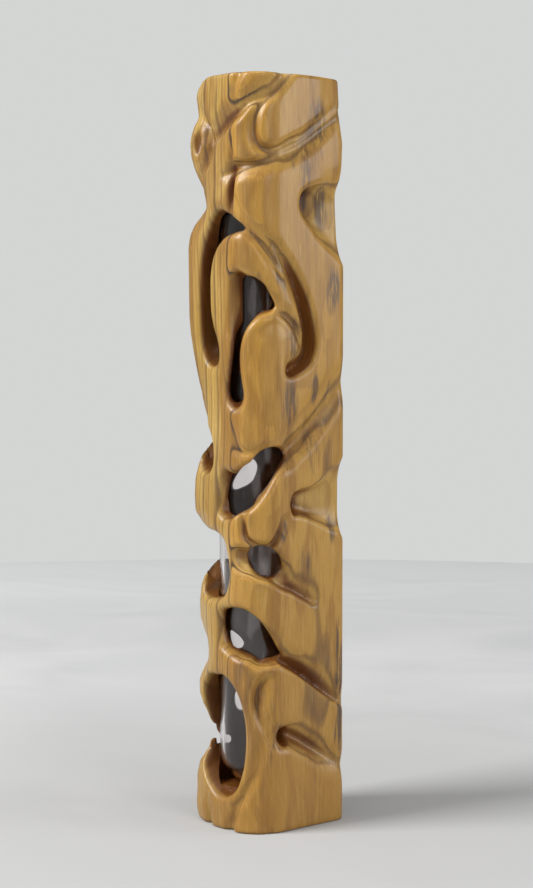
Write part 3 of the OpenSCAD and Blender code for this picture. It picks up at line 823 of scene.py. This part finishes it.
class Nodes:
    """Short names for building a node tree."""

    def __init__(self, name):
        self.material = bpy.data.materials.new(name)
        self.material.use_nodes = True
        self.tree = self.material.node_tree
        self.tree.nodes.clear()
        self.out = self.new("ShaderNodeOutputMaterial")
        self.shader = self.new("ShaderNodeBsdfPrincipled")
        self.wire(self.shader.outputs[0], self.out.inputs["Surface"])
        self.place = self.new("ShaderNodeTexCoord").outputs["Object"]

    def new(self, kind, **values):
        node = self.tree.nodes.new(kind)
        for key, value in values.items():
            setattr(node, key, value)
        return node

    def wire(self, a, b):
        self.tree.links.new(a, b)

    def put(self, socket, value):
        if isinstance(value, bpy.types.NodeSocket):
            self.wire(value, socket)
        else:
            socket.default_value = value

    def math(self, op, *values):
        node = self.new("ShaderNodeMath", operation=op)
        for socket, value in zip(node.inputs, values):
            self.put(socket, value)
        return node.outputs[0]

    def times(self, a, b):
        return self.math("MULTIPLY", a, b)

    def plus(self, a, b):
        return self.math("ADD", a, b)

    def minus(self, a, b):
        return self.math("SUBTRACT", a, b)

    def scaled(self, factors, shift=(0, 0, 0)):
        """Object coordinates in mm times the factors."""
        node = self.new("ShaderNodeMapping")
        self.wire(self.place, node.inputs["Vector"])
        node.inputs["Scale"].default_value = [f / MM for f in factors]
        node.inputs["Location"].default_value = shift
        return node.outputs[0]

    def noise(self, vector, detail=2.0, rough=0.5, distortion=0.0):
        node = self.new("ShaderNodeTexNoise")
        self.wire(vector, node.inputs["Vector"])
        node.inputs["Scale"].default_value = 1.0
        node.inputs["Detail"].default_value = detail
        node.inputs["Roughness"].default_value = rough
        node.inputs["Distortion"].default_value = distortion
        return node.outputs["Fac"]

    def fit(self, value, a, b, c=0.0, d=1.0, smooth=True):
        node = self.new("ShaderNodeMapRange", interpolation_type="SMOOTHSTEP" if smooth else "LINEAR",
                        clamp=True)
        for socket, v in zip(node.inputs, (value, a, b, c, d)):
            self.put(socket, v)
        return node.outputs[0]

    def mix(self, fac, a, b, how="MIX"):
        node = self.new("ShaderNodeMix", data_type="RGBA", blend_type=how)
        self.put(node.inputs["Factor"], fac)
        for socket, v in zip([s for s in node.inputs if s.type == "RGBA"], (a, b)):
            self.put(socket, v if isinstance(v, bpy.types.NodeSocket) else (*v, 1))
        return [s for s in node.outputs if s.type == "RGBA"][0]

    def bump(self, height, strength, distance, below=None):
        node = self.new("ShaderNodeBump")
        self.put(node.inputs["Strength"], strength)
        self.put(node.inputs["Distance"], distance * MM)
        self.put(node.inputs["Height"], height)
        if below:
            self.wire(below, node.inputs["Normal"])
        return node.outputs[0]


# Dark streaky patches in the right-hand face: (y, z, half width, half height, strength).
SMUDGES = [(2.6, 149, 2.0, 3.6, 1.0), (5.6, 167, 3.4, 6, 0.8), (1.6, 156, 2.4, 6, 0.7),
           (7.6, 147.5, 2.4, 6.5, 0.9), (10.1, 128, 2.0, 6, 0.9), (-1.9, 116, 2.0, 6, 0.8),
           (-2.9, 101, 3.0, 7, 0.8), (5.3, 104.5, 1.2, 4, 0.9), (-5.9, 72, 1.4, 4, 0.9),
           (9.6, 71, 1.4, 4, 0.8), (4.0, 90, 1.6, 6, 0.5)]


def olive(name, shift=(0.0, 0.0, 0.0), figure=1.0, turned=False, smudges=()):
    """Polished olive wood: growth layers that stand upright at the front and wrap the right-hand side."""
    m = Nodes(name)
    xyz = m.new("ShaderNodeSeparateXYZ")
    m.wire(m.scaled((1, 1, 1), shift), xyz.inputs[0])
    x, y, z = xyz.outputs
    warp = m.noise(m.scaled((0.085, 0.085, 0.026), shift), 1.5, 0.45)
    sway = m.noise(m.scaled((0.03, 0.03, 0.012), (3.1, 1.7, 0.4)), 0.0)
    ripple = m.noise(m.scaled((0.5, 0.5, 0.05), (7.0, 2.0, 5.0)), 1.0)
    back = m.plus(y, 14.75)
    back = m.math("MAXIMUM", back, 0.0)
    bend = m.times(m.minus(1.0, m.math("EXPONENT", m.math("DIVIDE", back, -3.6))), 8.2)
    bend = m.times(bend, m.fit(x, 1.5, 8.0))
    q = m.minus(x, bend)
    q = m.plus(q, m.times(m.minus(warp, 0.5), 4.2 * figure))
    q = m.plus(q, m.times(m.minus(sway, 0.5), 3.0 * figure))
    q = m.plus(q, m.times(m.minus(ripple, 0.5), 0.35))

    def layer(at, before, after):
        """1 on a growth line, rising over `before` mm and ending over `after` mm."""
        up = m.fit(q, at - before, at)
        return m.times(up, m.fit(q, at, at + after, 1.0, 0.0))

    patchy = m.noise(m.scaled((0.16, 0.16, 0.045), (1.3, 8.8, 2.9)), 2.0, 0.6)
    fibre = m.noise(m.scaled((2.4, 2.4, 0.16), (0.0, 4.0, 0.0)), 3.0, 0.65)
    fine = m.noise(m.scaled((7.0, 7.0, 0.5), (5.0, 1.0, 2.0)), 2.0, 0.6)
    broad = m.noise(m.scaled((0.07, 0.07, 0.03), (9.0, 9.0, 4.0)), 2.0, 0.5)
    streaks = m.noise(m.scaled((1.1, 1.1, 0.13), (2.0, 9.0, 6.0)), 3.0, 0.6, 0.4)

    on_side = m.fit(x, 8.5, 12.0)
    # How shut in the surface is: it paints shade into the colour below and fades the growth lines there.
    occlusion_shade = 0.0 if turned else m.fit(m.new("ShaderNodeAttribute", attribute_name="occlusion_shade").outputs["Fac"],
                                      0.03, 0.28)
    plain = m.times(m.minus(1.0, m.times(on_side, 0.5)),
                   m.minus(1.0, m.times(occlusion_shade, 0.7)))
    plain = m.times(plain, m.fit(z, 9.0, 20.0, 0.25, 1.0))
    colour = m.mix(m.fit(broad, 0.3, 0.7), (0.465, 0.285, 0.064), (0.570, 0.375, 0.115))
    colour = m.mix(m.fit(q, 2.0, 6.5, 0.0, 0.75), colour, (0.490, 0.245, 0.036))
    cloud = m.noise(m.scaled((0.13, 0.13, 0.022), (6.0, 3.0, 7.0)), 3.0, 0.6, 0.8)
    colour = m.mix(m.fit(cloud, 0.45, 0.64, 0.0, 0.65), colour, (0.255, 0.108, 0.020))
    colour = m.mix(m.fit(z, 80.0, 5.0, 0.0, 0.45), colour, (0.310, 0.150, 0.026))
    grain = m.math("FRACT", m.math("DIVIDE", m.plus(q, 40.0), 1.25))
    colour = m.mix(m.times(m.fit(grain, 0.35, 1.0), 0.40), colour, (0.290, 0.140, 0.030))
    for at, before, after, strength, tint in (
        (-10.4, 1.2, 0.25, 0.60, (0.14, 0.070, 0.026)), (-7.6, 0.8, 0.2, 0.42, (0.17, 0.088, 0.032)),
        (-5.2, 1.4, 0.22, 0.75, (0.10, 0.050, 0.024)), (-2.6, 0.9, 0.2, 0.45, (0.17, 0.088, 0.032)),
        (0.1, 1.5, 0.22, 0.72, (0.11, 0.055, 0.024)), (2.4, 0.7, 0.2, 0.50, (0.15, 0.078, 0.030)),
        (4.8, 0.55, 0.30, 0.95, (0.045, 0.026, 0.022)), (7.3, 1.0, 0.3, 0.5, (0.10, 0.055, 0.032)),
        (9.6, 0.9, 0.25, 0.45, (0.12, 0.064, 0.035)),
    ):
        amount = m.times(layer(at, before, after), strength)
        amount = m.times(amount, m.fit(patchy, 0.28, 0.52, 0.35, 1.0))
        amount = m.times(amount, plain)
        colour = m.mix(amount, colour, tint)
    flame = m.times(m.fit(patchy, 0.60, 0.72), m.fit(q, 3.6, 5.4))
    for y0, z0, wide, tall, amount in smudges:
        dy = m.math("DIVIDE", m.minus(m.plus(y, m.times(m.minus(warp, 0.5), 6.0)), y0), wide)
        dz = m.math("DIVIDE", m.minus(z, z0), tall)
        spread = m.math("SQRT", m.plus(m.times(dy, dy), m.times(dz, dz)))
        spot = m.times(m.fit(m.plus(spread, m.times(patchy, 0.8)), 1.55, 0.95), amount)
        flame = m.math("MAXIMUM", flame, m.times(spot, m.fit(x, 5.5, 8.0)))
    flame = m.times(flame, m.fit(streaks, 0.38, 0.54))
    colour = m.mix(m.times(flame, 0.9 * figure), colour, (0.070, 0.042, 0.034))
    colour = m.mix(m.fit(fibre, 0.50, 0.76, 0.0, 0.42), colour, (0.235, 0.120, 0.036))
    colour = m.mix(m.fit(fibre, 0.48, 0.24, 0.0, 0.25), colour, (0.640, 0.450, 0.190))
    colour = m.mix(m.fit(fine, 0.56, 0.74, 0.0, 0.36), colour, (0.190, 0.095, 0.030))
    if not turned:
        # Painted shade: creases, hollows and the walls of the openings darkened by how shut in they are.
        colour = m.mix(m.times(occlusion_shade, 0.95), colour, (0.34, 0.175, 0.080), "MULTIPLY")
    m.wire(colour, m.shader.inputs["Base Color"])

    rough = m.fit(fibre, 0.3, 0.7, 0.38, 0.50, smooth=False)
    m.put(m.shader.inputs["Roughness"], m.plus(rough, m.fit(fine, 0.4, 0.8, -0.02, 0.08, smooth=False)))
    m.shader.inputs["Coat Weight"].default_value = 0.32
    m.shader.inputs["Coat Roughness"].default_value = 0.23
    m.shader.inputs["IOR"].default_value = 1.5
    m.shader.inputs["Specular IOR Level"].default_value = 0.25
    tool = m.noise(m.scaled((0.35, 0.35, 0.22), (2.0, 6.0, 1.0)), 1.0)
    low = m.bump(tool, 0.5, 0.10)
    if turned:
        radius = m.times(z, 2 * math.pi / 0.55)
        low = m.bump(m.math("SINE", radius), 0.4, 0.02, low)
    m.wire(m.bump(m.plus(m.times(fibre, 0.6), m.times(fine, 0.4)), 0.45, 0.035, low),
           m.shader.inputs["Normal"])
    return m.material


def glass():
    m = Nodes("borosilicate_glass")
    s = m.shader
    s.inputs["Base Color"].default_value = (0.95, 0.92, 0.92, 1)
    s.inputs["Transmission Weight"].default_value = 1.0
    s.inputs["IOR"].default_value = 1.47
    smear = m.noise(m.scaled((0.12, 0.12, 0.05)), 2.0, 0.5)
    m.wire(m.fit(smear, 0.35, 0.75, 0.01, 0.06), s.inputs["Roughness"])
    drawn = m.noise(m.scaled((0.5, 0.5, 0.02), (1.0, 1.0, 1.0)), 1.0)
    m.wire(m.bump(drawn, 0.25, 0.05), s.inputs["Normal"])
    return m.material


def cork_material():
    m = Nodes("natural_cork")
    cells = m.new("ShaderNodeTexVoronoi", feature="DISTANCE_TO_EDGE")
    m.wire(m.scaled((1.6, 1.6, 1.6)), cells.inputs["Vector"])
    cells.inputs["Scale"].default_value = 1.0
    edge = m.fit(cells.outputs["Distance"], 0.0, 0.12, 1.0, 0.0)
    blotch = m.noise(m.scaled((0.5, 0.5, 0.9)), 3.0, 0.6)
    pit = m.fit(m.noise(m.scaled((0.9, 0.9, 2.6), (4.0, 0.0, 1.0)), 2.0, 0.5), 0.62, 0.70)
    colour = m.mix(m.fit(blotch, 0.3, 0.7), (0.52, 0.33, 0.17), (0.66, 0.46, 0.26))
    colour = m.mix(m.times(edge, 0.35), colour, (0.30, 0.17, 0.08))
    colour = m.mix(m.times(pit, 0.8), colour, (0.12, 0.06, 0.03))
    m.wire(colour, m.shader.inputs["Base Color"])
    m.put(m.shader.inputs["Roughness"], m.fit(blotch, 0.3, 0.7, 0.75, 0.92))
    height = m.minus(m.times(blotch, 0.5), m.plus(m.times(edge, 0.3), pit))
    m.wire(m.bump(height, 0.6, 0.15), m.shader.inputs["Normal"])
    return m.material


def brass(name, lined):
    m = Nodes(name)
    brush = m.noise(m.scaled((9.0, 9.0, 0.35) if lined else (3.0, 3.0, 3.0)), 2.0, 0.6)
    tarnish = m.noise(m.scaled((0.22, 0.22, 0.22), (2.0, 5.0, 3.0)), 3.0, 0.6)
    spot = m.fit(m.noise(m.scaled((0.9, 0.9, 0.9), (6.0, 1.0, 2.0)), 2.0), 0.60, 0.72)
    colour = m.mix(m.fit(tarnish, 0.35, 0.7), (0.72, 0.50, 0.20), (0.56, 0.37, 0.15))
    colour = m.mix(m.times(spot, 0.5), colour, (0.26, 0.15, 0.07))
    colour = m.mix(m.fit(brush, 0.45, 0.75, 0.0, 0.25), colour, (0.86, 0.66, 0.34))
    m.wire(colour, m.shader.inputs["Base Color"])
    m.shader.inputs["Metallic"].default_value = 1.0
    m.put(m.shader.inputs["Roughness"], m.plus(m.fit(brush, 0.3, 0.7, 0.22, 0.38), m.times(spot, 0.2)))
    m.wire(m.bump(brush, 0.3, 0.02), m.shader.inputs["Normal"])
    return m.material


def dress(obj, material):
    obj.data.materials.clear()
    obj.data.materials.append(material)


dress(block, olive("olive_wood_carved", smudges=SMUDGES))
dress(tube, glass())
dress(stopper, olive("olive_wood_turned", shift=(-6.0, 3.0, 41.0), figure=0.6, turned=True))
dress(cork, cork_material())
plate_brass, screw_brass = brass("brass_rolled", True), brass("brass_turned", False)
for label in ("upper", "lower"):
    for node, material in (("_keyhole_plate", plate_brass), ("_plate_screws", screw_brass)):
        obj = bpy.data.objects[label + node]
        obj.data.materials.clear()
        obj.data.materials.append(material)

# ---------------------------------------------------------------- stage and lights


def cloth():
    m = Nodes("pale_cloth")
    weave = m.noise(m.scaled((1.2, 1.2, 1.2)), 2.0)
    fold = m.noise(m.scaled((0.012, 0.012, 0.012), (0.3, 0.9, 0.0)), 2.0, 0.5, 0.6)
    flat = m.new("ShaderNodeVectorMath", operation="LENGTH")
    m.wire(m.place, flat.inputs[0])
    colour = m.mix(m.fit(fold, 0.3, 0.7), (0.585, 0.59, 0.585), (0.645, 0.65, 0.64))
    # Painted shade on the floor near the middle, round where the block stands.
    colour = m.mix(m.fit(flat.outputs["Value"], 0.24, 0.05), colour, (0.50, 0.50, 0.495))
    # Painted light on the floor's outer ring, where the lamps reach less.
    colour = m.mix(m.fit(flat.outputs["Value"], 0.26, 0.52), colour, (0.75, 0.76, 0.75))
    m.wire(colour, m.shader.inputs["Base Color"])
    m.shader.inputs["Roughness"].default_value = 0.9
    m.shader.inputs["Specular IOR Level"].default_value = 0.2
    m.wire(m.bump(weave, 0.2, 0.1, m.bump(fold, 0.6, 4.0)), m.shader.inputs["Normal"])
    return m.material


ground = lathe("ground", [(r, 0.0) for r in (540, 480, 360, 240, 120, 60, 20, 0)], 128, (0.0, 0.0))
dress(ground, cloth())

world = bpy.data.worlds.new("studio")
bpy.context.scene.world = world
world.use_nodes = True
tree = world.node_tree
tree.nodes.clear()
ray = tree.nodes.new("ShaderNodeLightPath")
seen = tree.nodes.new("ShaderNodeMath")
seen.operation = "MAXIMUM"
tree.links.new(ray.outputs["Is Camera Ray"], seen.inputs[0])
tree.links.new(ray.outputs["Is Transmission Ray"], seen.inputs[1])
fill, paper = tree.nodes.new("ShaderNodeBackground"), tree.nodes.new("ShaderNodeBackground")
fill.inputs[0].default_value, fill.inputs[1].default_value = (0.96, 0.97, 1.0, 1), 0.20
paper.inputs[0].default_value, paper.inputs[1].default_value = (0.655, 0.665, 0.655, 1), 1.0
blend = tree.nodes.new("ShaderNodeMixShader")
tree.links.new(seen.outputs[0], blend.inputs[0])
tree.links.new(fill.outputs[0], blend.inputs[1])
tree.links.new(paper.outputs[0], blend.inputs[2])
tree.links.new(blend.outputs[0], tree.nodes.new("ShaderNodeOutputWorld").inputs[0])


def softbox(name, azimuth, elevation, distance, width, height, power, colour=(1, 1, 1)):
    lamp = bpy.data.lights.new(name, "AREA")
    lamp.shape, lamp.size, lamp.size_y = "RECTANGLE", width, height
    lamp.energy, lamp.color = power, colour
    obj = bpy.data.objects.new(name, lamp)
    bpy.context.scene.collection.objects.link(obj)
    a, e = math.radians(azimuth), math.radians(elevation)
    target = Vector((0, 0, HEIGHT * MM * 0.5))
    side = Vector((math.sin(a) * math.cos(e), -math.cos(a) * math.cos(e), math.sin(e)))
    obj.location = target + side * distance
    obj.rotation_mode = "QUATERNION"
    obj.rotation_quaternion = (-side).to_track_quat("-Z", "Y")
    return obj


softbox("key", -20, 40, 1.1, 0.45, 0.55, 13.5)
softbox("side_fill", 80, 22, 1.2, 0.5, 0.6, 3)
softbox("side_sheen", 130, 14, 1.15, 0.5, 0.45, 4)
softbox("top", 60, 82, 1.1, 0.8, 0.8, 4)

bpy.context.scene.view_settings.view_transform = "Standard"
